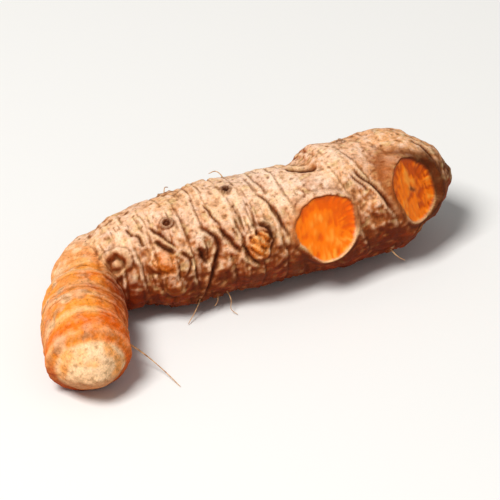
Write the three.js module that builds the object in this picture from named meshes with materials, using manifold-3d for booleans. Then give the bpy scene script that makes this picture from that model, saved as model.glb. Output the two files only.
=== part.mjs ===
// A fresh turmeric rhizome, lying on a level surface. It grew as one piece, so it is one solid:
// a thick ringed body, a side finger that curves away from its left end, flat scars where other
// fingers were snapped off, dormant buds in two opposite rows, and scattered root scars.
// Millimetres, +Z up. The body lies along X, and the origin is on the surface, under the middle
// of the rhizome's bounding box.
import * as THREE from "three";
import { mergeVertices } from "three/addons/utils/BufferGeometryUtils.js";
import Module from "manifold-3d";

const wasm = await Module();
wasm.setup();

// Driving dimensions of the main body
const BODY_START = -38.5;
const BODY_END = 39;
const BODY_COLUMNS = 26;
const BODY_FLATTEN = 0.03;
const MEAN_RADIUS = 11;
const LEFT_CAP = 9;
const RIGHT_CAP = 13;
// Under 1, an end is blunter than half a ball
const CAP_POWER = 0.62;

// The body's line: X, Y and height of its middle at a few places
const BODY_LINE = [
  [BODY_START, 0.6, 8.6],
  [-20, 0.2, 10.0],
  [-8, -0.4, 10.7],
  [8, -0.8, 11.3],
  [20, 0.3, 12.2],
  [29, 1.2, 12.9],
  [BODY_END, 1.2, 11.4],
];
// The body's radius: place along X, radius
const BODY_GIRTH = [
  [-38.5, 6.9],
  [-28, 9.2],
  [-20, 10.2],
  [-14, 10.4],
  [-6, 10.9],
  [4, 11.0],
  [10, 11.7],
  [20, 11.7],
  [29, 10.7],
  [39.5, 9.2],
];
// Low swellings and hollows: place, turn in degrees, height, half width along and round in mm
const SWELLINGS = [
  [-22, 203, 1.5, 6, 6.5],
  [-4, 168, 0.5, 5, 5],
  [10.2, 62, -2.0, 3.2, 6.5],
  [16.5, 60, 0.6, 3.5, 7],
  [28, 228, -1.2, 4.5, 7],
  [29, 62, 0.8, 4, 7],
  [-24, 320, 0.9, 6, 6],
  [3, 335, 0.7, 5, 6],
  [31, 335, 0.6, 6, 6],
];

// Leaf-scar rings on the body: place along X, depth as a share, and how far the ring leans, in mm
const BODY_RINGS = [
  [-34.2, 0.5, 0.4],
  [-31.0, 0.7, -0.4],
  [-28.0, 0.9, 0.6],
  [-24.9, 0.7, 0.2],
  [-21.4, 0.8, -0.4],
  [-18.1, 0.8, 0.6],
  [-14.7, 1.0, 0.2],
  [-11.2, 1.1, 1.7],
  [-8.4, 0.7, 0.9],
  [-5.3, 0.8, 1.0],
  [-0.9, 1.1, 1.4],
  [2.6, 0.6, 1.6],
  [13.4, 0.5, 2.0],
  [19.2, 1.1, 3.4],
  [26.2, 0.5, 2.8],
  [31.8, 0.7, 1.9],
  [35.4, 0.5, 0.8],
];
// A leaning ring moves towards +X past this turn, and towards -X before it
const RING_LEAN_TURN = THREE.MathUtils.degToRad(147);

// Driving dimensions of the side finger
const FINGER_COLLAR = 35.6;
const FINGER_TIP_CAP = 6;
const FINGER_ROOT_CAP = 5;
const FINGER_COLUMNS = 18;
// Extra rows of the finger's mesh: near its root, and about its collar
const FINGER_ROOT_ROWS = [4, 8, 11.5];
const COLLAR_ROWS = [-1.6, -0.4, 0.4, 1.1, 1.9, 2.8];
const FINGER_LINE = [
  [-28, 4.0, 7.8],
  [-33, 3.0, 7.2],
  [-36.6, -0.6, 7.3],
  [-39.2, -6.2, 7.7],
  [-41.2, -12, 7.8],
  [-43.2, -18, 7.8],
  [-44.7, -24.5, 7.5],
  [-45.8, -30, 6.8],
];
// The finger's radius: place along it from its root, radius. A collar ends the thick part.
const FINGER_GIRTH = [
  [0, 7.2],
  [7, 6.8],
  [13, 6.5],
  [20, 7.6],
  [26, 8.1],
  [FINGER_COLLAR - 0.6, 7.9],
  [FINGER_COLLAR + 1.3, 6.3],
  [42, 6.1],
];
// Rings on the finger: place along it from its root, depth as a share, and lean in mm
const FINGER_RINGS = [
  [14.6, 0.7, 0.5],
  [18.6, 0.9, -0.4],
  [22.6, 1.0, 0.5],
  [26.6, 0.8, -0.2],
  [31.0, 0.8, 0.4],
];

// A ring is a low ridge with a groove just past it. It fades on two sides, and each next ring
// fades at another turn.
const RING_FADE = 0.25;
const RING_TWIST = 1.7;
const RIDGE_HEIGHT = 0.38;
const GROOVE_DEPTH = 0.42;
const RING_PROFILE = [
  [-1.15, 0],
  [-0.42, 1],
  [0.22, -1],
  [0.95, 0],
];

// Rows of the mesh: how close to each end, the usual spacing and the smallest gap, in mm
const END_ROWS = [0.35, 1, 2.1];
const ROW_SPACING = 3.4;
const ROW_GAP = 0.28;

// Scars of broken-off fingers: place along X, turn round the body in degrees, radius, depth of
// the flat face under the skin, and how far the face leans towards +X in degrees
const BREAK_SCARS = [
  { x: 7.4, turn: 160, radius: 6.5, depth: 0.8, lean: 3 },
  { x: 26.4, turn: 156, radius: 6.2, depth: 1.6, lean: 29 },
  { x: 14.5, turn: 334, radius: 5.2, depth: 0.8, lean: -6 },
];
// The scar's rim of skin, the sloping shoulder outside it, and how deep its stump starts
const SCAR_RIM_HEIGHT = 0.5;
const SCAR_RIM_WIDTH = 0.45;
const SCAR_SHOULDER_WIDTH = 0.35;
const SCAR_FOOT_WIDTH = 0.7;
const SCAR_FOOT_DEPTH = 1.6;
const SCAR_SINK = 6;
const SCAR_PLUG_FLARE = 1.5;
const SCAR_SIDES = 26;

// Dormant buds: place, turn, radius, height
const BUDS = [
  [-5.4, 158, 3.1, 1.5],
  [-16.2, 148, 2.5, 1.0],
  [-23.4, 156, 3.0, 1.4],
  [-22.4, 181, 2.6, 1.1],
  [-1.5, 331, 3.1, 1.4],
  [-11.5, 336, 2.6, 1.2],
  [-21, 329, 3.0, 1.3],
  [28.8, 330, 3.0, 1.5],
  [-30.2, 334, 2.2, 1.0],
];
// A bud's collar and pointed scale: shares of its radius and of its height
const BUD_PROFILE = [
  [1, -0.9],
  [0.8, 0.42],
  [0.58, 0.3],
  [0.38, 0.85],
  [0, 1],
];
const BUD_SIDES = 12;

// Round root scars with a raised rim and a pit: place, turn, radius
const ROOT_SCARS = [
  [-32.2, 144, 3.0],
  [-21.2, 116, 1.2],
  [-7.1, 90, 1.2],
  [-13.6, 222, 1.3],
  [-17.8, 212, 1.1],
  [17.6, 216, 1.2],
  [-4.2, 30, 1.2],
  [21.5, 64, 1.1],
  [-17.5, 55, 1.3],
];
// A root scar's rim and pit: shares of its radius, and heights in mm
const ROOT_SCAR_PROFILE = [
  [1, 0.1],
  [0.7, 0.45],
  [0.45, -0.25],
  [0, 0.1],
];
const ROOT_SCAR_SIDES = 8;

// How deep the buds and root scars reach into the body, in mm
const ROOTED = 2;

// Long low lumps: height, waves per mm along, waves round, and phase
const LUMPS = [
  [0.3, 0.21, 2, 0.7],
  [0.2, 0.47, -1, 2.1],
  [0.14, 0.33, 5, 0],
];
// The finger's lumps are lower and closer together than the body's
const FINGER_LUMP_SHARE = 0.6;
const FINGER_LUMP_RATE = 1.7;

// A block below the surface, wider than the root, and how close points are to be one, in mm
const BLOCK = 300;
const WELD = 1e-4;
const UP = new THREE.Vector3(0, 0, 1);
const LATHE_AXIS = new THREE.Vector3(0, 1, 0);

// Smooth value at a place between [place, value] knots
function between(knots, place) {
  const last = knots.length - 1;
  if (place <= knots[0][0]) {
    return knots[0][1];
  }
  if (place >= knots[last][0]) {
    return knots[last][1];
  }
  const i = knots.findIndex((knot) => knot[0] >= place) - 1;
  const share = THREE.MathUtils.smoothstep(place, knots[i][0], knots[i + 1][0]);
  return THREE.MathUtils.lerp(knots[i][1], knots[i + 1][1], share);
}

// How full the section is near an end: 0 at the tip, 1 past the cap
function fullness(distance, cap) {
  const share = THREE.MathUtils.clamp(distance / cap, 0, 1);
  return Math.pow(Math.sin((share * Math.PI) / 2), CAP_POWER);
}

// How far the lumps raise a grown section, so that it isn't round
function lumps(along, turn) {
  let height = 0;
  LUMPS.forEach(([rise, rate, sides, phase]) => {
    height += rise * Math.sin(rate * along + sides * turn + phase);
  });
  return height;
}

// How far the swellings raise the body's skin at a place and turn
function swelling(x, turn) {
  let height = 0;
  SWELLINGS.forEach(([place, degrees, rise, halfAlong, halfRound]) => {
    const away = turn - THREE.MathUtils.degToRad(degrees);
    const around = Math.asin(Math.sin(away / 2)) * 2 * MEAN_RADIUS;
    const along = x - place;
    height += rise * Math.exp(-((along / halfAlong) ** 2) - (around / halfRound) ** 2);
  });
  return height;
}

// A line through points, with its place, side and top directions at a distance along it
function makeLine(points) {
  const curve = new THREE.CatmullRomCurve3(points.map((p) => new THREE.Vector3(...p)));
  const length = curve.getLength();
  function at(distance) {
    const share = THREE.MathUtils.clamp(distance / length, 0, 1);
    const centre = curve.getPointAt(share);
    const ahead = curve.getTangentAt(share);
    const side = new THREE.Vector3().crossVectors(UP, ahead).normalize();
    const top = new THREE.Vector3().crossVectors(ahead, side);
    return { centre, ahead, side, top };
  }
  return { length, at };
}

// Rows along a grown shape: on each ring, between rings, at each end and at the extra places
function rowsFor(rings, length, extra) {
  const rows = [...extra, ...END_ROWS, ...END_ROWS.map((d) => length - d)];
  rings.forEach(([place], i) => {
    RING_PROFILE.forEach(([offset]) => rows.push(place + offset));
    const next = i + 1 < rings.length ? rings[i + 1][0] : length;
    const gap = next - place;
    const fills = Math.max(1, Math.round(gap / ROW_SPACING) - 1);
    for (let k = 1; k <= fills; k++) {
      rows.push(place + (gap * k) / (fills + 1));
    }
  });
  const kept = [0];
  rows.sort((a, b) => a - b).forEach((row) => {
    const behind = row - kept[kept.length - 1];
    if (Math.min(behind, length - row) > ROW_GAP) {
      kept.push(row);
    }
  });
  return [...kept, length];
}

// Height that the rings add at a row, with each ring stronger on some sides than others
function ringRelief(rings, along, turn) {
  let relief = 0;
  rings.forEach(([place, depth], i) => {
    const offset = along - place;
    const first = RING_PROFILE[0][0];
    const last = RING_PROFILE[RING_PROFILE.length - 1][0];
    if (offset < first || offset > last) {
      return;
    }
    const k = Math.max(1, RING_PROFILE.findIndex((point) => point[0] >= offset));
    const [a, b] = [RING_PROFILE[k - 1], RING_PROFILE[k]];
    const shape = THREE.MathUtils.mapLinear(offset, a[0], b[0], a[1], b[1]);
    const strength = depth * (1 - RING_FADE + RING_FADE * Math.sin(2 * turn + RING_TWIST * i));
    relief += strength * shape * (shape > 0 ? RIDGE_HEIGHT : GROOVE_DEPTH);
  });
  return relief;
}

// How far the rings lean along the shape at a row: the lean fades from one ring to the next
function ringLean(rings, along) {
  return between(rings.map(([place, , lean]) => [place, lean]), along);
}

// A closed mesh grown along a line. A sphere's rows become the rows of the shape, from the far
// end back to the start, and its columns go round.
function grow(rows, columns, pointAt) {
  const geometry = new THREE.SphereGeometry(1, columns, rows.length - 1);
  const position = geometry.getAttribute("position");
  for (let i = 0; i < position.count; i++) {
    const row = Math.floor(i / (columns + 1));
    const column = (i % (columns + 1)) % columns;
    const point = pointAt(rows[rows.length - 1 - row], (column / columns) * 2 * Math.PI);
    position.setXYZ(i, point.x, point.y, point.z);
  }
  return geometry;
}

const bodyLine = makeLine(BODY_LINE);
const bodyRings = BODY_RINGS.map(([x, depth, lean]) => [x - BODY_START, depth, lean]);

function bodyFullness(along) {
  return fullness(along, LEFT_CAP) * fullness(bodyLine.length - along, RIGHT_CAP);
}

// A point on the body's skin and the way out of it, at a distance along it and a turn round it.
// The turn is 0 on the far side, 90 degrees on top and 180 degrees on the near side.
function bodySkin(along, turn, relief = 0) {
  const full = bodyFullness(along);
  const leaned = along + full * ringLean(bodyRings, along) * Math.sin(turn - RING_LEAN_TURN);
  const { centre, side, top } = bodyLine.at(leaned);
  const x = along + BODY_START;
  const girth = between(BODY_GIRTH, x) + lumps(along, turn) + swelling(x, turn);
  const radius = full * (girth * (1 + BODY_FLATTEN * Math.cos(2 * turn)) + relief);
  const out = new THREE.Vector3()
    .addScaledVector(side, Math.cos(turn))
    .addScaledVector(top, Math.sin(turn));
  return { point: centre.addScaledVector(out, radius), out };
}

function makeBody() {
  const rows = rowsFor(bodyRings, bodyLine.length, []);
  return grow(rows, BODY_COLUMNS, (along, turn) => {
    return bodySkin(along, turn, ringRelief(bodyRings, along, turn)).point;
  });
}

const fingerLine = makeLine(FINGER_LINE);

// The finger's radius at a distance along it, rounded off at its tip and inside the body
function fingerRadius(along) {
  const tip = fullness(fingerLine.length - along, FINGER_TIP_CAP);
  return tip * fullness(along, FINGER_ROOT_CAP) * between(FINGER_GIRTH, along);
}

function makeFinger() {
  const collarRows = COLLAR_ROWS.map((offset) => FINGER_COLLAR + offset);
  const rows = rowsFor(FINGER_RINGS, fingerLine.length, [...FINGER_ROOT_ROWS, ...collarRows]);
  return grow(rows, FINGER_COLUMNS, (along, turn) => {
    const radius = fingerRadius(along);
    const full = radius / FINGER_GIRTH[0][1];
    const lean = full * ringLean(FINGER_RINGS, along) * Math.sin(turn);
    const { centre, side, top } = fingerLine.at(along + lean);
    const uneven = FINGER_LUMP_SHARE * lumps(FINGER_LUMP_RATE * along, turn);
    const relief = ringRelief(FINGER_RINGS, along, turn) + uneven;
    const out = new THREE.Vector3()
      .addScaledVector(side, Math.cos(turn))
      .addScaledVector(top, Math.sin(turn));
    return centre.addScaledVector(out, radius + full * relief);
  });
}

// A closed geometry as a solid that can be joined and cut
function solid(geometry) {
  const bare = geometry.clone();
  bare.deleteAttribute("normal");
  bare.deleteAttribute("uv");
  const merged = mergeVertices(bare, WELD);
  const vertProperties = new Float32Array(merged.getAttribute("position").array);
  const triVerts = new Uint32Array(merged.index.array);
  return new wasm.Manifold(new wasm.Mesh({ numProp: 3, vertProperties, triVerts }));
}

// A shape made about +Y, stood on the body with +Y along the given direction
function stand(geometry, point, out) {
  const turn = new THREE.Quaternion().setFromUnitVectors(LATHE_AXIS, out);
  return solid(geometry.applyQuaternion(turn).translate(point.x, point.y, point.z));
}

// A lathe turned from a profile of [radius, height] points, closed on its axis at both ends
function turned(profile, sides) {
  return new THREE.LatheGeometry(profile.map((p) => new THREE.Vector2(...p)), sides);
}

// The body's skin at a place along X and a turn in degrees
function onBody(x, degrees) {
  return bodySkin(x - BODY_START, THREE.MathUtils.degToRad(degrees));
}

// A broken-off finger: a stump with a thin raised rim of skin round a flat face
function addBreakScar(root, { x, turn, radius, depth, lean }) {
  const { point, out } = onBody(x, turn);
  const tilt = THREE.MathUtils.degToRad(lean);
  const face = out.clone().multiplyScalar(Math.cos(tilt)).setX(Math.sin(tilt)).normalize();
  const centre = point.clone().addScaledVector(out, -depth);
  const stump = [
    [0, -SCAR_SINK],
    [radius + SCAR_FOOT_WIDTH, -SCAR_SINK],
    [radius + SCAR_FOOT_WIDTH, -SCAR_FOOT_DEPTH],
    [radius + SCAR_SHOULDER_WIDTH, SCAR_RIM_HEIGHT / 2],
    [radius, SCAR_RIM_HEIGHT],
    [0, SCAR_RIM_HEIGHT],
  ];
  const inner = radius - SCAR_RIM_WIDTH;
  const outer = inner + SCAR_PLUG_FLARE;
  const plug = new THREE.CylinderGeometry(outer, inner, SCAR_SINK, SCAR_SIDES);
  plug.translate(0, SCAR_SINK / 2, 0);
  const raised = root.add(stand(turned(stump, SCAR_SIDES), centre, face));
  return raised.subtract(stand(plug, centre, face));
}

// A dormant bud: a low collar with a pointed scale in the middle
function addBud(root, [x, degrees, radius, height]) {
  const { point, out } = onBody(x, degrees);
  const scales = BUD_PROFILE.map(([wide, high]) => [radius * wide, height * high]);
  const profile = [[0, -ROOTED], [radius, -ROOTED], ...scales];
  return root.add(stand(turned(profile, BUD_SIDES), point, out));
}

// A root scar: a raised rim round a pit with a small point in it
function addRootScar(root, [x, degrees, radius]) {
  const { point, out } = onBody(x, degrees);
  const rim = ROOT_SCAR_PROFILE.map(([wide, high]) => [radius * wide, high]);
  const profile = [[0, -ROOTED], [radius, -ROOTED], ...rim];
  return root.add(stand(turned(profile, ROOT_SCAR_SIDES), point, out));
}

// Levels the lowest part of the root, so that it rests on small flat spots
function levelUnderside(root) {
  const below = new THREE.BoxGeometry(BLOCK, BLOCK, BLOCK).translate(0, 0, -BLOCK / 2);
  return root.subtract(solid(below));
}

// The finished solid as a geometry whose origin is under the middle of its box
function toGeometry(finished) {
  const mesh = finished.getMesh();
  const position = new THREE.BufferAttribute(mesh.vertProperties, mesh.numProp);
  const geometry = new THREE.BufferGeometry().setAttribute("position", position);
  geometry.setIndex(new THREE.BufferAttribute(mesh.triVerts, 1));
  geometry.computeBoundingBox();
  const { min, max } = geometry.boundingBox;
  geometry.translate(-(min.x + max.x) / 2, -(min.y + max.y) / 2, -min.z);
  geometry.computeVertexNormals();
  return geometry;
}

function makeRhizome() {
  let root = solid(makeBody()).add(solid(makeFinger()));
  BUDS.forEach((bud) => {
    root = addBud(root, bud);
  });
  ROOT_SCARS.forEach((scar) => {
    root = addRootScar(root, scar);
  });
  BREAK_SCARS.forEach((scar) => {
    root = addBreakScar(root, scar);
  });
  const skin = new THREE.MeshStandardMaterial({ color: 0xc9966c, roughness: 0.8, metalness: 0 });
  const mesh = new THREE.Mesh(toGeometry(levelUnderside(root)), skin);
  mesh.name = "rhizome";
  return mesh;
}

const turmeric = new THREE.Group();
turmeric.add(makeRhizome());

export default turmeric;
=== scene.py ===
"""A fresh turmeric rhizome on a pale surface: finer skin, scars, buds and rootlets over the CAD form.

The shape is worked out in millimetres, in the same coordinates as the CAD source, from the same
driving dimensions. It is then moved to the frame's place and turned into metres.
"""

import math

import bpy
import numpy as np
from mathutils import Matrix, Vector, noise


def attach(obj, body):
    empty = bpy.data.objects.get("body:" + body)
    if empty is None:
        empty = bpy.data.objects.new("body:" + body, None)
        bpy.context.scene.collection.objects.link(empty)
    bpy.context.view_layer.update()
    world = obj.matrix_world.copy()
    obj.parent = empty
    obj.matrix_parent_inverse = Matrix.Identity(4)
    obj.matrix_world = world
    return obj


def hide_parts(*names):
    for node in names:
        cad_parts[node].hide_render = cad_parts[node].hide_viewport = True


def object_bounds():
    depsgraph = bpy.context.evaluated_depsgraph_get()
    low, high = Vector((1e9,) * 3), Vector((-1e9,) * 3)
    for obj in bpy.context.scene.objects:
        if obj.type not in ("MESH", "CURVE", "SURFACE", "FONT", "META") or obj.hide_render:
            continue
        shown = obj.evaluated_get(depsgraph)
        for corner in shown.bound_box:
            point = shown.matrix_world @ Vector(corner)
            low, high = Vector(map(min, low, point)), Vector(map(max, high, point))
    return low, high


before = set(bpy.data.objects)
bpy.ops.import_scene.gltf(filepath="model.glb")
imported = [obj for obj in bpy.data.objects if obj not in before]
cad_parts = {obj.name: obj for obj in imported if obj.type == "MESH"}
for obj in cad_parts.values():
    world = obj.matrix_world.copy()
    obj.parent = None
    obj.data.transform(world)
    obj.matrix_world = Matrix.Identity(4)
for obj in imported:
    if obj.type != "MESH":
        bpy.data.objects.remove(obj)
cad_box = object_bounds()

# The body: where it starts along X, how flat it is, its usual radius, how far its ends are rounded,
# its line (X, Y, height) and its girth (X, radius)
BODY_START = -38.5
BODY_FLATTEN = 0.03
MEAN_RADIUS = 11.0
LEFT_CAP = 9.0
RIGHT_CAP = 13.0
CAP_POWER = 0.62
BODY_LINE = [
    (-38.5, 0.6, 8.6),
    (-20, 0.2, 10.0),
    (-8, -0.4, 10.7),
    (8, -0.8, 11.3),
    (20, 0.3, 12.2),
    (29, 1.2, 12.9),
    (39.0, 1.2, 11.4),
]
BODY_GIRTH = [
    (-38.5, 6.9),
    (-28, 9.2),
    (-20, 10.2),
    (-14, 10.4),
    (-6, 10.9),
    (4, 11.0),
    (10, 11.7),
    (20, 11.7),
    (29, 10.7),
    (39.5, 9.2),
]
# Low swellings and hollows: place, turn in degrees, height, and half width along and round
SWELLINGS = [
    (-22, 203, 1.5, 6, 6.5),
    (-4, 168, 0.5, 5, 5),
    (10.2, 62, -2.0, 3.2, 6.5),
    (16.5, 60, 0.6, 3.5, 7),
    (28, 228, -1.2, 4.5, 7),
    (29, 62, 0.8, 4, 7),
    (-24, 320, 0.9, 6, 6),
    (3, 335, 0.7, 5, 6),
    (31, 335, 0.6, 6, 6),
]
# Leaf-scar rings: place along X, depth as a share, and how far the ring leans
BODY_RINGS = [
    (-34.2, 0.5, 0.4),
    (-31.0, 0.7, -0.4),
    (-28.0, 0.9, 0.6),
    (-24.9, 0.7, 0.2),
    (-21.4, 0.8, -0.4),
    (-18.1, 0.8, 0.6),
    (-14.7, 1.0, 0.2),
    (-11.2, 1.1, 1.7),
    (-8.4, 0.7, 0.9),
    (-5.3, 0.8, 1.0),
    (-0.9, 1.1, 1.4),
    (2.6, 0.6, 1.6),
    (13.4, 0.5, 2.0),
    (19.2, 1.1, 3.4),
    (26.2, 0.5, 2.8),
    (31.8, 0.7, 1.9),
    (35.4, 0.5, 0.8),
]
# The turn that a ring leans towards, how uneven and how twisted the rings are, and their relief in mm
RING_LEAN_TURN = math.radians(147)
RING_FADE = 0.25
RING_TWIST = 1.7
RIDGE_HEIGHT = 0.38
GROOVE_DEPTH = 0.42
# The finer skin's grooves are this much deeper than the CAD form's
GROOVE_GAIN = 1.15
# Beside a ring's place, in mm: where its ridge, groove, dark line, pale lip (partly painted highlight)
# and band of painted shade are, and how wide
RING_RIDGE = (-0.45, 0.42)
RING_GROOVE = (0.16, 0.24)
RING_LINE = (0.16, 0.21)
RING_LIP = (-0.42, 0.36)
RING_SHADE = (0.95, 0.75)
# Fine folds: size and depth in mm, and the noise's seed
WRINKLES = [(0.7, 0.16, 5), (0.42, 0.09, 6)]
# Small lumps and grain: height, how much higher on the body's sides, size, and the noise's seed
SMALL_LUMPS = [(0.22, 0.0, 5.5, 8), (0.19, 0.17, 2.1, 9), (0.1, 0.07, 0.95, 10)]

# The side finger: where along its line the collar before its cream tip is, its usual radius, how far
# its ends are rounded, its line (X, Y, height) and its girth (distance along, radius)
FINGER_COLLAR = 35.6
FINGER_MEAN_RADIUS = 7.0
FINGER_TIP_CAP = 6.0
FINGER_ROOT_CAP = 5.0
FINGER_LINE = [
    (-28, 4.0, 7.8),
    (-33, 3.0, 7.2),
    (-36.6, -0.6, 7.3),
    (-39.2, -6.2, 7.7),
    (-41.2, -12, 7.8),
    (-43.2, -18, 7.8),
    (-44.7, -24.5, 7.5),
    (-45.8, -30, 6.8),
]
FINGER_GIRTH = [
    (0, 7.2),
    (7, 6.8),
    (13, 6.5),
    (20, 7.6),
    (26, 8.1),
    (FINGER_COLLAR - 0.6, 7.9),
    (FINGER_COLLAR + 1.3, 6.3),
    (42, 6.1),
]
# The finger's rings: distance along it, depth as a share, and how far the ring leans
FINGER_RINGS = [
    (14.6, 0.7, 0.5),
    (18.6, 0.9, -0.4),
    (22.6, 1.0, 0.5),
    (26.6, 0.8, -0.2),
    (31.0, 0.8, 0.4),
]
# The finger's lumps are lower and closer together than the body's
FINGER_LUMP_SHARE = 0.6
FINGER_LUMP_RATE = 1.7

# Long low lumps: height, waves per mm along, waves round, and phase
LUMPS = [
    (0.3, 0.21, 2, 0.7),
    (0.2, 0.47, -1, 2.1),
    (0.14, 0.33, 5, 0.0),
]

# Scars of broken-off fingers: place, turn, radius, depth under the skin, lean towards +X, how dark
# the flesh has dried, how much longer the scar is one way, and the turn on its face of its low side
BREAK_SCARS = [
    (7.4, 160, 6.5, 0.8, 3, 0.0, 0.1, -66),
    (26.4, 156, 6.2, 1.6, 29, 0.45, 0.65, -86),
    (14.5, 334, 5.2, 0.8, -6, 0.7, 0.3, -66),
]
SCAR_RIM_HEIGHT = 0.5
SCAR_RIM_WIDTH = 0.45
SCAR_SLOPE = 0.9
# Turns on a scar's face, from its right towards its top: its long way, the side where the flesh tore
# deeper, and the way that the dark split in dried flesh runs
SCAR_LONG_TURN = math.radians(112)
SCAR_DEEP_TURN = math.radians(48)
SCAR_SPLIT_TURN = math.radians(-38)

# Dormant buds: place, turn, radius, height, and from 0 to 1 how orange, how torn and how ringed
BUDS = [
    (-5.4, 158, 3.1, 1.5, 1.0, 1.0, 0.7),
    (-16.2, 148, 2.5, 1.0, 0.0, 0.3, 0.1),
    (-23.4, 156, 3.0, 1.4, 0.55, 0.2, 0.15),
    (-22.4, 181, 2.6, 1.1, 0.15, 0.0, 0.45),
    (-1.5, 331, 3.1, 1.4, 0.4, 0.0, 0.8),
    (-11.5, 336, 2.6, 1.2, 0.9, 0.9, 0.6),
    (-21, 329, 3.0, 1.3, 0.3, 0.2, 0.5),
    (28.8, 330, 3.0, 1.5, 0.4, 0.0, 0.9),
    (-30.2, 334, 2.2, 1.0, 0.2, 0.0, 0.4),
]
# A ringed bud's relief: distance from its middle as a share of its radius, and height as a share
BUD_PROFILE = [(0, 1), (0.38, 0.85), (0.58, 0.3), (0.8, 0.42), (1.05, 0)]

# Round root scars with a raised rim and a pit: place, turn, radius, and how pale the pit's middle is
ROOT_SCARS = [
    (-32.2, 144, 3.0, 1.0),
    (-21.2, 116, 1.2, 0.55),
    (-7.1, 90, 1.05, 0.0),
    (-13.6, 222, 1.3, 0.6),
    (-17.8, 212, 1.1, 0.4),
    (17.6, 216, 1.2, 0.6),
    (-4.2, 30, 1.2, 0.5),
    (21.5, 68, 1.0, 0.5),
    (-17.5, 55, 1.3, 0.6),
]
# A root scar's relief: distance from its middle as a share of its radius, and height in mm
ROOT_SCAR_PROFILE = [(0, 0.1), (0.42, -0.4), (0.7, 0.42), (1.15, 0)]

# Creases in the body's skin: half width and depth in mm, the side that has a pale lip (1 or -1, or
# 0 for none), and the crease's points as place and turn
CREASES = [
    (0.9, 0.75, 1, [(6.2, 80), (9.2, 86), (11.9, 96)]),
    (0.42, 0.7, 1, [(-24.3, 131), (-23.0, 140), (-21.2, 150)]),
    (0.3, 0.4, -1, [(-24.4, 113), (-22.8, 128), (-20.6, 144)]),
    (0.3, 0.42, 1, [(-27.0, 115), (-26.2, 134)]),
    (0.26, 0.35, 1, [(-28.0, 103), (-27.4, 118)]),
    (0.42, 0.62, -1,
     [(-15.4, 128), (-13.5, 136), (-12.6, 147), (-13.1, 164), (-14.5, 182), (-16.6, 212)]),
    (0.46, 0.6, 0, [(-17.0, 150), (-16.0, 158), (-15.1, 170)]),
    (0.4, 0.55, -1, [(-11.4, 134), (-10.5, 149), (-9.3, 165)]),
    (0.3, 0.35, 1, [(-12.1, 102), (-11.5, 122), (-11.0, 133)]),
    (0.32, 0.4, -1, [(-1.8, 106), (-0.7, 127), (0.0, 143), (0.3, 160)]),
    (0.42, 0.6, 1, [(-4.7, 141), (-3.0, 147), (-2.6, 159)]),
    (0.42, 0.6, -1, [(-8.4, 156), (-7.6, 171), (-6.0, 180)]),
    (0.4, 0.5, 1, [(17.9, 113), (18.4, 128), (19.1, 140), (19.4, 153), (19.8, 164)]),
    (0.28, 0.35, 1, [(16.4, 118), (17.1, 130), (17.4, 139)]),
    (0.3, 0.4, 1, [(-19.9, 150), (-18.7, 158), (-18.9, 170), (-20.1, 176)]),
    (0.28, 0.35, -1, [(22.0, 205), (25.4, 198), (28.6, 190)]),
    (0.34, 0.45, 1, [(31.0, 96), (32.6, 112), (33.2, 128)]),
    (0.3, 0.4, 1, [(-9.0, 20), (-8.2, 44), (-8.9, 62)]),
    (0.32, 0.4, -1, [(20.6, 10), (21.6, 30), (21.0, 52)]),
]

# A crease's line keeps every so many of its points, and marks skin this near to it in mm
CREASE_STEP = 16
CREASE_REACH = 5.0

# How far in mm from its own face a bud, a root scar or a break scar still marks the skin
BUD_REACH = 4
ROOT_SCAR_REACH = 3
BREAK_SCAR_REACH = 8

# Dry rootlets that still hang on: points in the shape's own coordinates, and the thickness at the root
ROOTLETS = [
    ([(-16.6, -8.4, 5.4), (-17.4, -9.5, 3.6), (-18.8, -10.2, 1.5), (-20.4, -11.3, 0.3)], 0.34),
    ([(-36.6, -18.6, 6.4), (-32.9, -21.0, 3.5), (-30.5, -24.2, 1.5), (-28.8, -28.8, 0.3)], 0.36),
    ([(-11.8, -8.4, 4.6), (-11.2, -10.0, 2.6), (-11.5, -10.8, 1.0), (-10.6, -11.9, 0.3)], 0.26),
]
# Short broken rootlets: place, turn, length, and bend along the body
ROOTLET_STUBS = [
    (17.6, 216, 2.6, 1.4),
    (-4.2, 30, 3.6, -1.4),
    (-17.5, 55, 2.2, 0.8),
    (-13.6, 222, 1.8, -0.7),
    (24.0, 22, 2.8, 1.3),
    (-27.0, 12, 2.6, -1.1),
    (2.5, 8, 2.4, 1.0),
]
ROOTLET_SIDES = 6
ROOTLET_STEPS = 18
# How much of its thickness a rootlet loses towards its end, and the lowest that its skin lies
ROOTLET_TAPER = 0.65
ROOTLET_REST = 0.02
STUB_THICKNESS = 0.34
STUB_ROOT_DEPTH = 0.6
# A stub's further points: out and down as shares of its length, and aside as a share of its bend
STUB_LINE = [(0.35, 0.0, 0.2), (0.7, 0.12, 0.7), (0.85, 0.35, 1.5)]

# The mesh: rows and columns of the smooth forms, and the size of the even quads over both
FORM_ROWS = 220
FORM_COLUMNS = 160
VOXEL = 0.31
# How strongly and how often the quads are evened out, all over and then more at the finger's seam
EVEN_WEIGHT = 0.5
EVEN_PASSES = 3
SEAM_WEIGHT = 0.6
SEAM_PASSES = 26
SEAM_REACH = 1.6
# Half the width in mm over which the body's skin turns into the finger's
FINGER_BLEND = 0.9
# How often the place of a leaning row is worked out anew
LEAN_PASSES = 4

# Crests get a paler colour and hollows a darker one, small and wide ones, partly rubbed skin and dirt
# and partly painted highlight and shade: passes of smoothing, and depth in mm
HOLLOW_WEIGHT = 0.6
HOLLOWS = [(3, 0.035), (24, 0.16)]
# Blotches of the skin's colour, from broad ones to specks: size in mm, and the noise's seed
TONES = [(9.0, 51), (3.6, 52), (1.5, 53), (0.75, 54)]

MM = 0.001
UP = np.array([0.0, 0.0, 1.0])
ALONG = np.array([1.0, 0.0, 0.0])


def ramp(low, high, value):
    """0 below low, 1 above high, and smooth between."""
    share = np.clip((value - low) / (high - low), 0, 1)
    return share * share * (3 - 2 * share)


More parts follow.
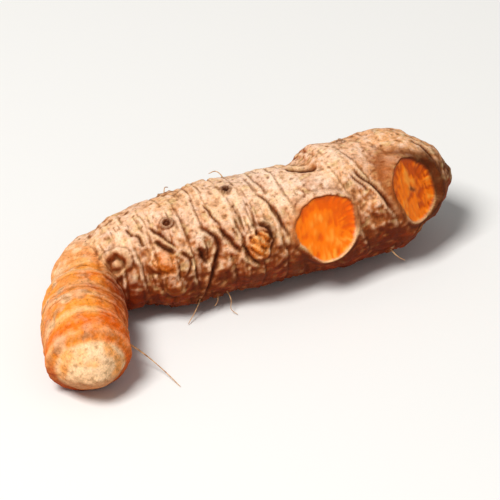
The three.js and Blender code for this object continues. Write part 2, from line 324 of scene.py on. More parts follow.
def hump(value, middle, half):
    """A rounded hump of height 1 at middle."""
    return np.exp(-(((value - middle) / half) ** 2))


def mix(a, b, share):
    """From a at share 0 to b at share 1, one number at a time."""
    return a * (1 - share) + b * share


def mix_rows(a, b, share):
    """From a at share 0 to b at share 1, for rows such as colours, with a share for each row."""
    share = np.reshape(share, (-1, 1))
    return a * (1 - share) + b * share


def between(knots, place):
    """Smooth value at a place between (place, value) knots."""
    places, values = np.array(knots, float).T
    i = np.clip(np.searchsorted(places, place) - 1, 0, len(places) - 2)
    share = ramp(places[i], places[i + 1], place)
    return values[i] + (values[i + 1] - values[i]) * share


def fullness(distance, cap):
    """How full a section is near an end: 0 at the tip, 1 past the cap."""
    share = np.clip(distance / cap, 0, 1)
    return np.sin(share * math.pi / 2) ** CAP_POWER


def lumps(along, turn):
    """How far the lumps raise a grown section."""
    height = np.zeros_like(along)
    for rise, rate, sides, phase in LUMPS:
        height = height + rise * np.sin(rate * along + sides * turn + phase)
    return height


def swelling(x, turn):
    """How far the swellings raise the body's skin."""
    height = np.zeros_like(x)
    for place, degrees, rise, half_along, half_round in SWELLINGS:
        away = turn - math.radians(degrees)
        around = np.arcsin(np.sin(away / 2)) * 2 * MEAN_RADIUS
        height = height + rise * hump(x, place, half_along) * hump(around, 0, half_round)
    return height


def noise_at(points, size, seed):
    """Smooth noise from about -1 to 1 with features about size mm across."""
    shift = Vector((seed * 17.3, seed * 5.1, seed * 9.7))
    return np.array([noise.noise(Vector(p) / size + shift) for p in points])


class Line:
    """A centripetal Catmull-Rom line through points, read by the distance along it."""

    STEPS = 80
    BATCH = 4000

    def __init__(self, points):
        knots = np.array(points, float)
        knots = np.vstack([2 * knots[0] - knots[1], knots, 2 * knots[-1] - knots[-2]])
        share = np.linspace(0, 1, self.STEPS, endpoint=False)[:, None]
        pieces = []
        for p0, p1, p2, p3 in zip(knots, knots[1:], knots[2:], knots[3:]):
            d0, d1, d2 = (math.sqrt(np.linalg.norm(b - a)) for a, b in ((p0, p1), (p1, p2), (p2, p3)))
            t1 = d1 * ((p1 - p0) / d0 - (p2 - p0) / (d0 + d1) + (p2 - p1) / d1)
            t2 = d1 * ((p2 - p1) / d1 - (p3 - p1) / (d1 + d2) + (p3 - p2) / d2)
            square = -3 * p1 + 3 * p2 - 2 * t1 - t2
            cube = 2 * p1 - 2 * p2 + t1 + t2
            pieces.append(p1 + t1 * share + square * share**2 + cube * share**3)
        self.points = np.vstack([*pieces, knots[-2:-1]])
        steps = np.linalg.norm(np.diff(self.points, axis=0), axis=1)
        self.distance = np.concatenate([[0], np.cumsum(steps)])
        self.length = self.distance[-1]
        self.ahead = np.gradient(self.points, self.distance, axis=0)

    def at(self, distance):
        """The line's middle, side and top directions at each distance."""
        distance = np.clip(distance, 0, self.length)
        middle = np.stack([np.interp(distance, self.distance, c) for c in self.points.T], axis=-1)
        ahead = np.stack([np.interp(distance, self.distance, c) for c in self.ahead.T], axis=-1)
        ahead /= np.linalg.norm(ahead, axis=-1, keepdims=True)
        side = np.cross(UP, ahead)
        side /= np.linalg.norm(side, axis=-1, keepdims=True)
        return middle, side, np.cross(ahead, side)

    def nearest(self, points):
        """The distance along the line of the place nearest to each point."""
        found = np.empty(len(points))
        for start in range(0, len(points), self.BATCH):
            part = points[start:start + self.BATCH]
            gaps = ((part[:, None, :] - self.points[None, :, :]) ** 2).sum(axis=2)
            best = np.clip(gaps.argmin(axis=1), 1, len(self.points) - 2)
            before, here, after = (gaps[np.arange(len(part)), best + k] for k in (-1, 0, 1))
            bend = np.maximum(before - 2 * here + after, 1e-9)
            shift = np.clip((before - after) / (2 * bend), -1, 1)
            step = self.distance[best + 1] - self.distance[best]
            found[start:start + self.BATCH] = self.distance[best] + shift * step
        return np.clip(found, 0, self.length)


body_line = Line(BODY_LINE)
finger_line = Line(FINGER_LINE)


def body_full(along):
    """How full the body is, from 0 at its ends to 1."""
    return fullness(along, LEFT_CAP) * fullness(body_line.length - along, RIGHT_CAP)


def body_lean(along, turn):
    """How far a row of the body is moved along it at a turn."""
    places = [(x - BODY_START, lean) for x, _, lean in BODY_RINGS]
    return body_full(along) * between(places, along) * np.sin(turn - RING_LEAN_TURN)


def body_radius(along, turn):
    """The body's radius before its rings."""
    x = along + BODY_START
    girth = between(BODY_GIRTH, x) + lumps(along, turn) + swelling(x, turn)
    return body_full(along) * girth * (1 + BODY_FLATTEN * np.cos(2 * turn))


def finger_full(along):
    """How full the finger is, from 0 at its ends to 1."""
    return fullness(finger_line.length - along, FINGER_TIP_CAP) * fullness(along, FINGER_ROOT_CAP)


def finger_lean(along, turn):
    """How far a row of the finger is moved along it at a turn."""
    places = [(place, lean) for place, _, lean in FINGER_RINGS]
    return finger_full(along) * between(places, along) * np.sin(turn)


def finger_radius(along, turn):
    """The finger's radius before its rings."""
    uneven = FINGER_LUMP_SHARE * lumps(FINGER_LUMP_RATE * along, turn)
    return finger_full(along) * (between(FINGER_GIRTH, along) + uneven)


def skin_point(line, along, turn, lean, radius):
    """The point of a grown form's skin and the way out of it."""
    middle, side, top = line.at(along + lean(along, turn))
    out = side * np.cos(turn)[..., None] + top * np.sin(turn)[..., None]
    return middle + out * radius(along, turn)[..., None], out


def on_body(x, degrees):
    """The body's skin and the way out of it at a place along X and a turn in degrees."""
    along = np.array([x - BODY_START], float)
    turn = np.array([math.radians(degrees)])
    point, out = skin_point(body_line, along, turn, body_lean, body_radius)
    return point[0], out[0]


def form_mesh(line, lean, radius):
    """A closed form along a line, as points and faces."""
    share = (1 - np.cos(np.linspace(0, math.pi, FORM_ROWS))) / 2
    rows = line.length * share[1:-1]
    turns = np.arange(FORM_COLUMNS) * 2 * math.pi / FORM_COLUMNS
    along, turn = np.meshgrid(rows, turns, indexing="ij")
    points, _ = skin_point(line, along, turn, lean, radius)
    ends = line.points[[0, -1]]
    points = np.vstack([points.reshape(-1, 3), ends])
    start, finish = len(points) - 2, len(points) - 1
    last = (len(rows) - 1) * FORM_COLUMNS
    faces = []
    for c in range(FORM_COLUMNS):
        d = (c + 1) % FORM_COLUMNS
        faces.append((start, c, d))
        faces.append((finish, last + d, last + c))
        for r in range(0, last, FORM_COLUMNS):
            faces.append((r + c, r + FORM_COLUMNS + c, r + FORM_COLUMNS + d, r + d))
    return points, faces


def merged(parts):
    """Several parts' points and faces as one."""
    faces = []
    offset = 0
    for part_points, part_faces in parts:
        faces += [tuple(i + offset for i in face) for face in part_faces]
        offset += len(part_points)
    return np.vstack([points for points, _ in parts]), faces


def add_object(name, data):
    """A new object in the scene."""
    made = bpy.data.objects.new(name, data)
    bpy.context.scene.collection.objects.link(made)
    return made


def joined_forms(parts):
    """One even quad mesh over several closed forms, as points and quads."""
    points, faces = merged(parts)
    mesh = bpy.data.meshes.new("forms")
    mesh.from_pydata(points.tolist(), [], faces)
    holder = add_object("forms", mesh)
    remesh = holder.modifiers.new("even", "REMESH")
    remesh.mode = "VOXEL"
    remesh.voxel_size = VOXEL
    graph = bpy.context.evaluated_depsgraph_get()
    even = bpy.data.meshes.new_from_object(holder.evaluated_get(graph))
    points = np.empty(len(even.vertices) * 3)
    even.vertices.foreach_get("co", points)
    quads = np.empty(len(even.loops), int)
    even.loops.foreach_get("vertex_index", quads)
    bpy.data.objects.remove(holder)
    bpy.data.meshes.remove(mesh)
    bpy.data.meshes.remove(even)
    return points.reshape(-1, 3), quads.reshape(-1, 4)


def relaxed(points, quads, weight, passes):
    """Points moved towards the middle of their neighbours, by a weight each."""
    ends = np.vstack([quads[:, [k, (k + 1) % 4]] for k in range(4)])
    here, there = np.vstack([ends, ends[:, ::-1]]).T
    size = len(points)
    count = np.bincount(here, minlength=size)
    for _ in range(passes):
        sums = [np.bincount(here, weights=row, minlength=size) for row in points[there].T]
        middle = np.stack(sums, axis=1) / count[:, None]
        points = points + (middle - points) * weight[:, None]
    return points


def normals_of(points, quads):
    """The way out of the skin at each point."""
    a, b, c, d = (points[quads[:, k]] for k in range(4))
    across = np.cross(c - a, d - b)
    total = np.zeros_like(points)
    for k in range(4):
        for axis in range(3):
            total[:, axis] += np.bincount(quads[:, k], weights=across[:, axis], minlength=len(points))
    return total / (np.linalg.norm(total, axis=1, keepdims=True) + 1e-12)


def read_form(line, lean, radius, points):
    """Where points are on a form: the distance along it, the turn round it, and how far out."""
    distance = line.nearest(points)
    middle, side, top = line.at(distance)
    offset = points - middle
    turn = np.arctan2((offset * top).sum(axis=1), (offset * side).sum(axis=1))
    along = distance.copy()
    for _ in range(LEAN_PASSES):
        along = distance - lean(along, turn)
    along = np.clip(along, 0, line.length)
    beyond = np.linalg.norm(offset, axis=1) - radius(along, turn)
    return along, turn, beyond


class Skin:
    """The skin's points with the colours and marks that its details leave on them."""

    def __init__(self):
        body = (body_line, body_lean, body_radius)
        finger = (finger_line, finger_lean, finger_radius)
        points, self.quads = joined_forms([form_mesh(*body), form_mesh(*finger)])
        points = relaxed(points, self.quads, np.full(len(points), EVEN_WEIGHT), EVEN_PASSES)
        *_, off_body = read_form(*body, points)
        *_, off_finger = read_form(*finger, points)
        seam = hump(np.maximum(off_body, off_finger), 0, SEAM_REACH)
        self.points = relaxed(points, self.quads, SEAM_WEIGHT * seam, SEAM_PASSES)
        self.out = normals_of(self.points, self.quads)
        self.along, self.turn, off_body = read_form(*body, self.points)
        self.reach, self.spin, off_finger = read_form(*finger, self.points)
        self.finger = ramp(-FINGER_BLEND, FINGER_BLEND, off_body - off_finger)
        self.x = self.along + BODY_START
        self.full = body_full(self.along)
        blank = np.zeros(len(self.points))
        self.groove, self.lip, self.stain, self.bud = (blank.copy() for _ in range(4))
        self.eye, self.soot, self.plain, self.flesh = (blank.copy() for _ in range(4))
        self.rim, self.fibre, self.dried = (blank.copy() for _ in range(3))

    def raise_by(self, height):
        """Moves the skin out by a height in mm."""
        self.points += self.out * height[:, None]

    def local(self, centre, face):
        """Places about a point: the two sideways distances and the height along face."""
        offset = self.points - centre
        height = offset @ face
        across = np.cross(UP, face)
        across /= np.linalg.norm(across)
        u = offset @ across
        v = offset @ np.cross(face, across)
        return u, v, height


def add_rings(skin):
    """Leaf-scar rings: a ridge with a narrow dark groove past it, broken and uneven round the root."""
    wobble = 0.55 * noise_at(skin.points, 4.2, 1) + 0.16 * noise_at(skin.points, 1.1, 2)
    broken = 0.5 + 0.9 * noise_at(skin.points, 5.0, 3) + 0.5 * noise_at(skin.points, 1.9, 4)
    calm = 1 - 0.45 * ramp(0.45, 0.95, skin.out[:, 2]) * (1 - skin.finger)
    forms = (
        (BODY_RINGS, skin.x, skin.turn, 1 - skin.finger, skin.full),
        (FINGER_RINGS, skin.reach, skin.spin, skin.finger, finger_full(skin.reach)),
    )
    for rings, place, turn, own, full in forms:
        for i, (ring, depth, _) in enumerate(rings):
            offset = place - ring + wobble
            uneven = 1 - RING_FADE + RING_FADE * np.sin(2 * turn + RING_TWIST * i)
            strength = (1 - 0.3 * skin.finger) * depth * own * uneven
            strength *= np.clip(broken, 0.12, 1.05) * calm
            ridge = RIDGE_HEIGHT * hump(offset, *RING_RIDGE)
            groove = GROOVE_GAIN * GROOVE_DEPTH * hump(offset, *RING_GROOVE)
            skin.raise_by(full * strength * (ridge - groove))
            skin.groove += 0.66 * strength * hump(offset, *RING_LINE)
            skin.lip += (0.4 - 0.25 * skin.finger) * strength * hump(offset, *RING_LIP)
            # painted shade: a darker band just past each groove
            skin.stain += strength * hump(offset, *RING_SHADE)


def streak_places(skin, size, stretch):
    """Places for noise that is drawn out round the root and narrow along it."""
    spread = stretch * size
    places = []
    for along, turn, radius in (
        (skin.along, skin.turn, MEAN_RADIUS),
        (skin.reach, skin.spin, FINGER_MEAN_RADIUS),
    ):
        rows = [along / size, radius * np.cos(turn) / spread, radius * np.sin(turn) / spread]
        places.append(np.stack(rows, axis=1))
    return mix_rows(*places, (skin.finger > 0.5).astype(float))


def add_wrinkles(skin):
    """Fine folds and short creases that run round the root, deepest on its left two thirds."""
    left = 1 - 0.55 * ramp(4, 16, skin.x)
    calm = 1 - 0.35 * ramp(0.5, 0.95, skin.out[:, 2])
    for size, depth, seed in WRINKLES:
        wave = noise_at(streak_places(skin, size, 9.0), 1.6, seed)
        patch = ramp(-0.35, 0.45, noise_at(skin.points, 6.0, seed + 20))
        crease = ramp(0.24, 0.52, -wave)
        strength = patch * left * calm * (1 - 0.45 * skin.finger)
        skin.raise_by(depth * (0.6 * wave - crease) * strength * skin.full ** 0.5)
        skin.groove += 0.42 * crease * strength
        skin.lip += 0.3 * ramp(0.15, 0.5, wave) * strength
    skin.streak = noise_at(streak_places(skin, 1.1, 7.0), 1.6, 7)


def add_unevenness(skin):
    """Small lumps and grain, so that no stretch of skin is smooth."""
    flank = ramp(0.9, 0.45, skin.out[:, 2]) * (1 - skin.finger)
    for height, extra, size, seed in SMALL_LUMPS:
        skin.raise_by((height + extra * flank) * noise_at(skin.points, size, seed))


def add_buds(skin):
    """Dormant buds: an uneven collar round a pointed or torn scale, some with dark creases between."""
    ragged = 0.14 * noise_at(skin.points, 1.3, 42) + 0.08 * noise_at(skin.points, 0.6, 44)
    for i, (x, degrees, radius, height, orange, torn, ringed) in enumerate(BUDS):
        centre, face = on_body(x, degrees)
        u, v, away = skin.local(centre, face)
        angle = np.arctan2(v, u)
        uneven = 1 + 0.13 * np.sin(2 * angle + i) + 0.09 * np.sin(3 * angle + 2.3 * i)
        rho = np.hypot(u * 1.12, v * 0.92) / (radius * uneven) + ragged
        near = (np.abs(away) < BUD_REACH) & (rho < 1.6)
        mound = height * ramp(1.15, 0.0, rho)
        skin.raise_by(near * mix(mound, height * between(BUD_PROFILE, rho), ringed))
        swirl = np.sin(5.5 * rho * math.pi + angle + i)
        strands = np.sin(4.4 * (0.66 * u + 0.75 * v) + 10 * ragged)
        pattern = mix(0.5 * swirl, strands, torn)
        inner = near * ramp(0.78, 0.62, rho)
        skin.raise_by((0.1 + 0.2 * torn) * pattern * inner)
        open_side = 0.5 + 0.5 * np.sin(angle + 0.8 + 1.9 * i)
        collar = 0.9 * hump(rho, 0.66, 0.09) + 0.7 * hump(rho, 1.08, 0.1)
        skin.groove += near * collar * (0.25 + 0.75 * open_side) * (0.15 + 0.85 * ringed)
        skin.groove += 0.55 * torn * inner * ramp(-0.45, -0.95, pattern)
        skin.lip += near * 0.4 * ringed * hump(rho, 0.83, 0.12) * (1 - open_side)
        skin.lip += 0.75 * torn * inner * ramp(0.2, 0.85, pattern)
        skin.bud = np.maximum(skin.bud, orange * near * ramp(0.95, 0.55, rho))


def add_root_scars(skin):
    """Round scars of shed roots: a raised rim, a dark ring and a point that can be pale."""
    ragged = 0.14 * noise_at(skin.points, 1.0, 43)
    for i, (x, degrees, radius, pale) in enumerate(ROOT_SCARS):
        centre, face = on_body(x, degrees)
        u, v, away = skin.local(centre, face)
        angle = np.arctan2(v, u)
        rho = np.hypot(u, v) / (radius * (1 + 0.1 * np.sin(2 * angle + i))) + ragged
        near = (np.abs(away) < ROOT_SCAR_REACH) & (rho < 1.7)
        skin.raise_by(between(ROOT_SCAR_PROFILE, rho) * near)
        uneven = 0.8 + 0.25 * np.sin(angle + 1.3 * i)
        skin.groove += near * (0.8 * uneven * hump(rho, 0.38, 0.11) + 0.4 * hump(rho, 1.08, 0.1))
        skin.groove += near * (1 - pale) * 2.2 * hump(rho, 0, 0.8)
        skin.lip += near * pale * (0.3 * hump(rho, 0.75, 0.16) + 0.3 * hump(rho, 0, 0.13))
        skin.eye = np.maximum(skin.eye, near * ramp(1.0, 0.7, rho))


def crease_places(place, points):
    """How far each place is beside a crease and along it, as mm and a share."""
    line = Line([(x, MEAN_RADIUS * math.radians(degrees), 0) for x, degrees in points])
    knots = np.vstack([line.points[:-1:CREASE_STEP], line.points[-1:]])[:, :2]
    lengths = np.linalg.norm(np.diff(knots, axis=0), axis=1)
    beside = np.full(len(place), CREASE_REACH)
    along = np.zeros(len(place))
    for start, end, length, before in zip(knots, knots[1:], lengths, np.cumsum(lengths) - lengths):
        ahead = (end - start) / length
        offset = place - start
        share = np.clip(offset @ ahead, 0, length)
        gap = offset - share[:, None] * ahead
        distance = np.linalg.norm(gap, axis=1)
        side = np.where(ahead[0] * offset[:, 1] - ahead[1] * offset[:, 0] < 0, -1, 1)
        closer = distance < np.abs(beside)
        beside = np.where(closer, distance * side, beside)
        along = np.where(closer, (before + share) / lengths.sum(), along)
    return beside, along


def add_creases(skin):
    """Short soft folds and splits in the skin, some with a pale lip along one side."""
    wobble = 0.3 * noise_at(skin.points, 1.8, 41)
    patchy = np.clip(0.55 + 1.1 * noise_at(skin.points, 2.6, 46), 0.1, 1.0)
    place = np.stack([skin.x, MEAN_RADIUS * np.mod(skin.turn, 2 * math.pi)], axis=1)
    for half_width, depth, lip_side, points in CREASES:
        corners = np.array([(x, MEAN_RADIUS * math.radians(degrees)) for x, degrees in points])
        low, high = corners.min(axis=0) - CREASE_REACH, corners.max(axis=0) + CREASE_REACH
        near = np.flatnonzero(np.all((place > low) & (place < high), axis=1))
        beside, along = crease_places(place[near], points)
        beside = beside + wobble[near]
        taper = np.clip(6 * along * (1 - along) + 0.1, 0, 1) * (1 - skin.finger[near])
        height = -depth * taper * hump(beside, 0, 1.2 * half_width)
        skin.groove[near] += (0.65 + 1.4 * depth) * taper * hump(beside, 0, 0.75 * half_width)
        # painted shade along both sides of the crease
        skin.stain[near] += 0.8 * taper * hump(beside, 0, 2.0 * half_width)
        if lip_side:
            lip = taper * patchy[near] * hump(beside, -lip_side * 2.0 * half_width, 1.1 * half_width)
            height += 0.5 * depth * lip
            skin.lip[near] += 0.6 * lip
        skin.points[near] += skin.out[near] * height[:, None]


def flesh_fibre(u, v, rho, radius, dried, i):
    """Snapped flesh's fibres and blotches, -1 in hollows and 1 on threads, and its fine grain."""
    angle = np.arctan2(v, u)
    ray_place = np.stack([5.5 * np.cos(angle), 5.5 * np.sin(angle), 0.3 * rho], axis=1)
    face_place = np.stack([u, v, np.zeros_like(u)], axis=1)
    rays = noise_at(ray_place, 0.6, 33 + i)
    grain = noise_at(face_place, 1.2, 36 + i)
    blotches = noise_at(face_place, 2.8, 39 + i)
    strands = noise_at(face_place * (2.6, 0.8, 1.0), 1.3, 45 + i)
    spokes = ramp(0.3, 0.85, rho / radius) * (0.5 + 0.5 * np.cos(angle + 0.3))
    return 0.75 * blotches + 0.85 * rays * spokes + 0.45 * strands + (0.15 + 0.4 * dried) * grain, grain


def add_break_scars(skin):
    """Flat fibrous faces where fingers were snapped off, each in a thin torn rim of skin."""
    for i, (x, degrees, radius, depth, lean, dried, slant, low_turn) in enumerate(BREAK_SCARS):
        centre, out = on_body(x, degrees)
        tilt = math.radians(lean)
        face = out * math.cos(tilt)
        face[0] = math.sin(tilt)
        face /= np.linalg.norm(face)
        u, v, height = skin.local(centre - out * depth, face)
        angle = np.arctan2(v, u)
        round_place = np.stack([3 * np.cos(angle), 3 * np.sin(angle), np.full_like(u, 4.0 * i)], axis=1)
        torn = noise_at(round_place, 0.9, 31)
        corners = 0.28 * np.cos(3 * angle + 1.1 + 2 * i) + 0.16 * np.cos(5 * angle + 0.7 * i)
        corners = corners - slant * np.cos(2 * (angle - SCAR_LONG_TURN))
        rho = np.hypot(u, v) + 0.3 * torn + corners
        near = (np.abs(height) < BREAK_SCAR_REACH) & (rho < radius + 3.2)
        inner = radius - SCAR_RIM_WIDTH
        deep_side = 0.5 + 0.5 * np.cos(angle - SCAR_DEEP_TURN)
        low_side = 0.5 + 0.5 * np.cos(angle - math.radians(low_turn))
        fibre, grain = flesh_fibre(u, v, rho, radius, dried, i)

        # The face, its rim and the slope back to the skin
        dish = -0.3 + 0.35 * (rho / radius) ** 2
        floor = dish + 0.24 * fibre - 0.25 * deep_side * ramp(0.45, 0.8, rho / radius)
        rim = SCAR_RIM_HEIGHT * (0.8 + 0.7 * torn) * (0.2 + 0.8 * low_side)
        wanted = mix(floor, rim, ramp(inner - 0.1, inner + 0.3, rho))
        outside = ramp(radius, radius + SCAR_SLOPE, rho)
        skin.points += face * ((mix(wanted, height, outside) - height) * near)[:, None]

        # The flesh, which covers the skin's own marks
        inside = near * (1 - ramp(inner + 0.02, inner + 0.26, rho))
        covered = near * (1 - ramp(radius - 0.2, radius + 0.25, rho))
        skin.groove *= 1 - covered
        skin.lip *= 1 - covered
        skin.flesh = np.maximum(skin.flesh, inside)
        chunk = deep_side ** 2 * ramp(0.35, 0.75, rho / radius)
        skin.fibre = np.where(inside > 0, fibre - 0.65 * chunk, skin.fibre)
        skin.dried = np.where(inside > 0, dried, skin.dried)

        # The rim's pale low side, its dark inner edge, and darker skin round it that is partly dried
        # skin and partly painted shade
        ring = near * hump(rho, inner + 0.36, 0.15) * (0.75 + 0.5 * torn)
        skin.rim = np.maximum(skin.rim, ring * ramp(0.72, 0.97, low_side) * (1 - 0.5 * dried))
        skin.groove += near * hump(rho, inner + 0.15, 0.24) * (0.12 + 0.6 * dried)
        # painted shade along the inner edge on the deeper torn side, darker where dried
        skin.groove += near * hump(rho, inner + 0.15, 0.34) * deep_side ** 2 * (0.18 + 1.2 * dried)
        # on dried scars, a darker band away from the low side: partly stain, partly painted shade
        skin.stain += near * 2.4 * dried * ramp(0.75, 0.45, low_side) * hump(rho, radius + 0.5, 0.75)
        # painted shadow just under the rim's low side
        skin.groove += near * 0.8 * hump(rho, radius + 0.7, 0.32) * ramp(0.4, 1.0, low_side)
        # darker skin round the scar: partly stain, partly painted shade
        skin.stain += near * hump(rho, radius + 1.0, 1.1) * (0.3 + 1.2 * dried)
        # on dried scars, a dark edge on the side away from the light: partly dried skin, partly painted
        # shade
        away_side = ramp(-0.2, 0.7, np.cos(angle))
        faded = 1 - ramp(radius + 0.8, radius + 3.0, rho)
        soot = near * ramp(inner, radius, rho) * faded * ramp(0, 0.45, dried) * away_side
        skin.soot = np.maximum(skin.soot, soot)
        # no crest highlight near the edge, except on the low side
        no_highlight_edge = near * hump(rho, radius + 0.2, 1.0) * (1 - ramp(0.7, 0.95, low_side))
        skin.plain = np.maximum(skin.plain, no_highlight_edge)

        # The dark split across dried flesh
        across = u * math.cos(SCAR_SPLIT_TURN) + v * math.sin(SCAR_SPLIT_TURN)
        beside = v * math.cos(SCAR_SPLIT_TURN) - u * math.sin(SCAR_SPLIT_TURN)
        skin.groove += near * dried * 3.2 * hump(across, 0, 1.0) * hump(beside + 0.3 * grain, 0, 0.38)


def hollows(skin, passes, depth):
    """How far points lie below their neighbourhood: 1 at a depth in mm, and -1 on a crest as high."""
    around = relaxed(skin.points, skin.quads, np.full(len(skin.points), HOLLOW_WEIGHT), passes)
    below = ((around - skin.points) * skin.out).sum(axis=1)
    return np.clip(below / depth, -1, 1)


def srgb(red, green, blue):
    """A colour from its 8-bit screen values, as the linear values that the renderer uses."""
    share = np.array([red, green, blue]) / 255
    return np.where(share <= 0.04045, share / 12.92, ((share + 0.055) / 1.055) ** 2.4)


# Tones of the skin, the flesh and the rootlets, as 8-bit screen values
# PALE is also painted highlight on top
PALE = srgb(252, 208, 172)
TAN = srgb(232, 162, 112)
ROSY = srgb(222, 146, 108)
CORK = srgb(152, 78, 30)
OLIVE = srgb(118, 76, 30)
DRAB = srgb(156, 88, 46)
EARTH = srgb(78, 34, 10)
GROOVE = srgb(74, 32, 10)
PIT = srgb(30, 10, 3)
RUSSET = srgb(140, 66, 26)
CREAM = srgb(255, 224, 176)
# deep orange brown: mostly painted shade, on undersides, at the finger's joint and beside it; also the
# dried flesh's darker hollows
SHADED_ORANGE = srgb(172, 64, 4)
# the deepest painted shade, on undersides
UNDER = srgb(96, 32, 4)
# pinkish painted highlight on top and on crests
BLUSH = srgb(255, 224, 206)
RIM = srgb(255, 196, 128)
YOUNG = srgb(250, 160, 74)
YOUNG_DEEP = srgb(232, 104, 12)
TIP = srgb(251, 208, 170)
FLESH = srgb(252, 122, 10)
FLESH_LIGHT = srgb(255, 156, 52)
FLESH_DRY = srgb(222, 80, 4)
BUD = srgb(240, 126, 20)
STRAW = srgb(228, 182, 130)
STRAW_DARK = srgb(150, 92, 46)

# How much deeper the darker tones' red, green and blue are: darker tones turn warmer, partly painted
# warm light bounced into the shade
DEPTH_POWER = (1.0, 1.1, 1.22)


def coated(colour, coats):
    """A colour under coats that are mixed over it in turn, each a tone and its share."""
    for tone, share in coats:
        colour = mix_rows(colour, tone, share)
    return colour


def old_skin_colours(skin, broad, patch, fleck, speck):
    """The body's corky skin, with painted highlight on top and painted shade on its flanks, towards the
    ground and at the blunt end, which is also darker in its own right.
    """
    body = 1 - skin.finger
    up = skin.out[:, 2]
    top = ramp(0.45, 0.95, up)
    low = ramp(0.5, -0.25, up + 0.25 * patch)
    front = ramp(0.2, -0.4, skin.out[:, 1])
    middle = hump(skin.x, 0, 13)
    left_end = ramp(-13, -26, skin.x) * ramp(0.95, 0.5, up) * body
    right = ramp(4, 24, skin.x) * body
    end = ramp(29, 36, skin.x + 1.4 * patch) * body
    nook = hump(skin.x, -33, 4.0) * ramp(0.6, -0.2, up) * ramp(0, -0.5, skin.out[:, 1])
    return coated(mix_rows(TAN, ROSY, ramp(-0.3, 0.5, broad)), [
        # painted highlight: paler towards the top, with pinkish patches on top
        (PALE, 0.8 * ramp(0.3, 1.0, up + 0.35 * patch + 0.25 * skin.streak)),
        (BLUSH, 0.7 * ramp(-0.05, 0.4, broad - 0.3 * patch) * top),
        (CORK, 0.6 * ramp(0.0, 0.6, patch + 0.3 * fleck - 0.35 * skin.streak - 0.25 * up)),
        # painted highlight: pinker on top near the middle
        (BLUSH, 0.4 * middle * top),
        (TAN, (0.35 + 0.2 * ramp(14, 26, skin.x)) * (1 - middle)),
        (RUSSET, 0.5 * ramp(0.12, 0.5, fleck + 0.5 * speck - 0.3 * skin.streak)),
        # painted highlight: pinkish flecks towards the top
        (BLUSH, 0.6 * ramp(0.15, 0.55, -fleck - 0.4 * speck) * ramp(0.3, 0.8, up)),
        # painted shade on the left end's flanks
        (CORK, 0.3 * left_end),
        # greyer brown on the right part, more of it lower down: partly its own tone, partly painted
        # shade
        (DRAB, 0.8 * right * ramp(1.0, 0.3, up + 0.3 * patch + 0.1 * skin.streak)),
        # painted shade down the flanks, less of it on the right part
        (CORK, (0.82 - 0.3 * right) * ramp(0.92, 0.12, up + 0.35 * patch + 0.2 * fleck)),
        # painted shade on the underside, deep orange brown in patches
        (UNDER, 0.92 * low),
        (SHADED_ORANGE, 0.35 * low * ramp(0.0, 0.5, fleck + patch)),
        # the blunt end is darker, with less of it on top: partly its own dark skin, partly painted
        # shade
        (OLIVE, 0.7 * end * ramp(0.9, 0.4, up)),
        (EARTH, 0.55 * ramp(34.5, 38.5, skin.x + 1.4 * patch) * body),
        (OLIVE, 0.45 * ramp(0.26, 0.52, speck + 0.3 * fleck)),
        (CREAM, 0.5 * ramp(0.22, 0.5, fleck - 0.2 * speck) * (1 - 0.85 * low)),
        (EARTH, 0.5 * ramp(0.46, 0.64, speck)),
        # painted shade low on the front of the blunt end
        (SHADED_ORANGE, 0.4 * end * front * ramp(0.45, -0.1, up + 0.3 * fleck)),
        # painted shade in the nook between the body and the finger
        (SHADED_ORANGE, 0.9 * nook),
        (UNDER, 0.75 * nook),
    ])


def young_skin_colours(skin, broad, patch, fleck, speck):
    """The finger's young skin: orange with cream bands and blotches, and a pale cream tip, with painted
    highlight on its upper side towards the light and painted shade on its right flank, at the joint and
    underneath.
    """
    up = skin.out[:, 2]
    low = ramp(0.2, -0.6, up)
    inward = np.cos(skin.spin)
    outer = ramp(0.2, -0.7, inward)
    sunny = ramp(0.35, -0.35, inward) * ramp(-0.2, 0.4, up)
    wave = np.sin(skin.reach * 1.45 + 1.3 + 1.8 * patch + 0.6 * np.sin(skin.spin))
    elbow = ramp(15 + 6 * outer, 8, skin.reach)
    elbow = elbow * ramp(-0.1, 0.7, up + 0.3 * patch + 0.3 * outer)
    right_side = ramp(0.1, 0.9, inward + 0.3 * patch) * ramp(9, 14, skin.reach)
    joint = hump(skin.reach, 18, 7) * ramp(0.25, 0.85, inward)
    colour = coated(mix_rows(YOUNG, YOUNG_DEEP, 0.8 * ramp(-0.2, 0.45, patch + 0.4 * fleck)), [
        (CREAM, 0.4 * ramp(0.0, 1.0, wave + 0.6 * skin.streak + 0.8 * patch)),
        # painted highlight: cream patches on the upper side towards the light
        (TIP, 0.8 * sunny * ramp(0.02, 0.4, patch + 0.5 * fleck)),
        (ROSY, 0.5 * ramp(0.05, 0.45, broad - 0.3 * fleck)),
        (OLIVE, 0.45 * ramp(0.24, 0.5, fleck + 0.3 * speck)),
        # the elbow's paler old skin, paler still on top: partly its own tone, partly painted highlight
        (mix_rows(TAN, PALE, ramp(-0.1, 0.4, fleck)), 0.85 * elbow),
        # painted shade on the right flank, deepest at the joint
        (YOUNG_DEEP, 0.75 * right_side),
        (SHADED_ORANGE, 0.9 * joint),
        (UNDER, 0.4 * joint),
        (YOUNG_DEEP, 0.7 * hump(skin.reach, FINGER_COLLAR - 2.2, 1.9)),
        (OLIVE, 0.35 * hump(skin.reach + 0.6 * patch, FINGER_COLLAR + 0.1, 0.4)),
        # painted shade underneath
        (SHADED_ORANGE, 0.8 * low),
        (UNDER, 0.5 * ramp(-0.2, -0.9, up)),
    ])
    tip_colour = coated(mix_rows(TIP, YOUNG, 0.75 * ramp(0.05, 0.45, patch + 0.2 * fleck)), [
        (OLIVE, 0.45 * ramp(0.3, 0.5, speck + 0.4 * fleck)),
        # painted shade on the tip's underside
        (CORK, 0.7 * low),
    ])
    tip = ramp(FINGER_COLLAR + 0.5, FINGER_COLLAR + 1.3, skin.reach)
    return mix_rows(colour, tip_colour, tip)


